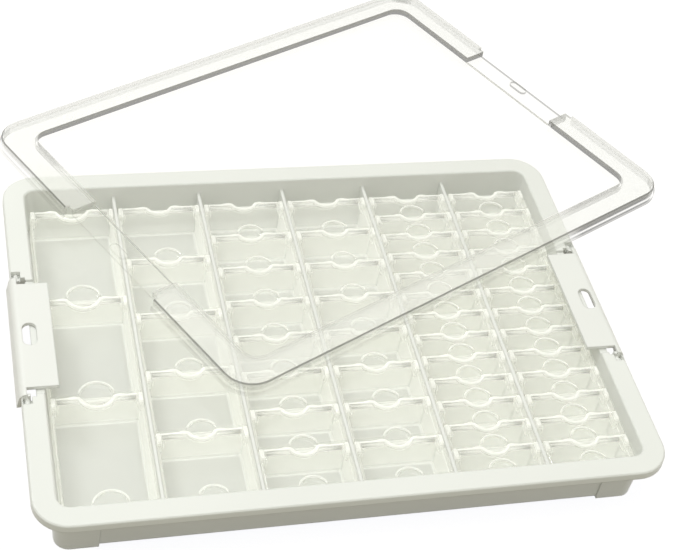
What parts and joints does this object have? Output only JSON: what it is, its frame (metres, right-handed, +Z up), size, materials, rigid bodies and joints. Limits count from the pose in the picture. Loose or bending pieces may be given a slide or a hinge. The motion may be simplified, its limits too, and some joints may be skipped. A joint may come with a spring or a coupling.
{
  "type": "bead storage box",
  "caption": "White tray of clear flip-top bead containers in mixed sizes, with hinged side latches and a clear lid that lies across it, taken off.",
  "frame": {"origin": "under the middle of the tray, in the plane that its feet stand on", "axes": "+Z up, +X to the right along the tray's long side, +Y to the back, away from the viewer"},
  "size_m": [0.4337, 0.4649, 0.0504],
  "materials": {
    "tray_white": "satin",
    "latch_white": "satin",
    "lid_clear": "clear, polished",
    "container_clear": "clear, polished",
    "flip_lid_clear": "clear, polished"
  },
  "bodies": {
    "tray": {"tray": "tray_white", "column_1_boxes": "container_clear", "column_1_flip_lids": "flip_lid_clear", "column_2_boxes": "container_clear", "column_2_flip_lids": "flip_lid_clear", "column_3_boxes": "container_clear", "column_3_flip_lids": "flip_lid_clear", "column_4_boxes": "container_clear", "column_4_flip_lids": "flip_lid_clear", "column_5_boxes": "container_clear", "column_5_flip_lids": "flip_lid_clear", "column_6_boxes": "container_clear", "column_6_flip_lids": "flip_lid_clear"},
    "latch_left": {"latch_left": "latch_white"},
    "latch_right": {"latch_right": "latch_white"},
    "big_lid": {"big_lid": "lid_clear"},
    "column_1_front_box": {"column_1_front_box": "container_clear"},
    "column_1_front_flip_lid": {"column_1_front_flip_lid": "flip_lid_clear"},
    "column_2_front_box": {"column_2_front_box": "container_clear"},
    "column_2_front_flip_lid": {"column_2_front_flip_lid": "flip_lid_clear"},
    "column_3_front_box": {"column_3_front_box": "container_clear"},
    "column_3_front_flip_lid": {"column_3_front_flip_lid": "flip_lid_clear"},
    "column_4_front_box": {"column_4_front_box": "container_clear"},
    "column_4_front_flip_lid": {"column_4_front_flip_lid": "flip_lid_clear"},
    "column_5_front_box": {"column_5_front_box": "container_clear"},
    "column_5_front_flip_lid": {"column_5_front_flip_lid": "flip_lid_clear"},
    "column_6_front_box": {"column_6_front_box": "container_clear"},
    "column_6_front_flip_lid": {"column_6_front_flip_lid": "flip_lid_clear"}
  },
  "joints": [
    {"name": "big_lid_lift", "type": "slide", "parent": "tray", "child": "big_lid", "axis": [0, 0, 1], "range_m": [0, 0.12]},
    {"name": "latch_left_hinge", "type": "hinge", "parent": "tray", "child": "latch_left", "pos_m": [-0.1748, 0, 0.0324], "axis": [0, -1, 0], "range_deg": [0, 100]},
    {"name": "latch_right_hinge", "type": "hinge", "parent": "tray", "child": "latch_right", "pos_m": [0.1748, 0, 0.0324], "axis": [0, 1, 0], "range_deg": [0, 100]},
    {"name": "column_1_front_lift", "type": "slide", "parent": "tray", "child": "column_1_front_box", "axis": [0, 0, 1], "range_m": [0, 0.035]},
    {"name": "column_1_front_flip", "type": "hinge", "parent": "column_1_front_box", "child": "column_1_front_flip_lid", "pos_m": [-0.1365, -0.04393, 0.0265], "axis": [-1, 0, 0], "range_deg": [0, 90]},
    {"name": "column_2_front_lift", "type": "slide", "parent": "tray", "child": "column_2_front_box", "axis": [0, 0, 1], "range_m": [0, 0.035]},
    {"name": "column_2_front_flip", "type": "hinge", "parent": "column_2_front_box", "child": "column_2_front_flip_lid", "pos_m": [-0.0819, -0.0744, 0.0265], "axis": [-1, 0, 0], "range_deg": [0, 90]},
    {"name": "column_3_front_lift", "type": "slide", "parent": "tray", "child": "column_3_front_box", "axis": [0, 0, 1], "range_m": [0, 0.035]},
    {"name": "column_3_front_flip", "type": "hinge", "parent": "column_3_front_box", "child": "column_3_front_flip_lid", "pos_m": [-0.0273, -0.09154, 0.0265], "axis": [-1, 0, 0], "range_deg": [0, 90]},
    {"name": "column_4_front_lift", "type": "slide", "parent": "tray", "child": "column_4_front_box", "axis": [0, 0, 1], "range_m": [0, 0.035]},
    {"name": "column_4_front_flip", "type": "hinge", "parent": "column_4_front_box", "child": "column_4_front_flip_lid", "pos_m": [0.0273, -0.09154, 0.0265], "axis": [-1, 0, 0], "range_deg": [0, 90]},
    {"name": "column_5_front_lift", "type": "slide", "parent": "tray", "child": "column_5_front_box", "axis": [0, 0, 1], "range_m": [0, 0.035]},
    {"name": "column_5_front_flip", "type": "hinge", "parent": "column_5_front_box", "child": "column_5_front_flip_lid", "pos_m": [0.0819, -0.10252, 0.0265], "axis": [-1, 0, 0], "range_deg": [0, 90]},
    {"name": "column_6_front_lift", "type": "slide", "parent": "tray", "child": "column_6_front_box", "axis": [0, 0, 1], "range_m": [0, 0.035]},
    {"name": "column_6_front_flip", "type": "hinge", "parent": "column_6_front_box", "child": "column_6_front_flip_lid", "pos_m": [0.1365, -0.10252, 0.0265], "axis": [-1, 0, 0], "range_deg": [0, 90]}
  ]
}
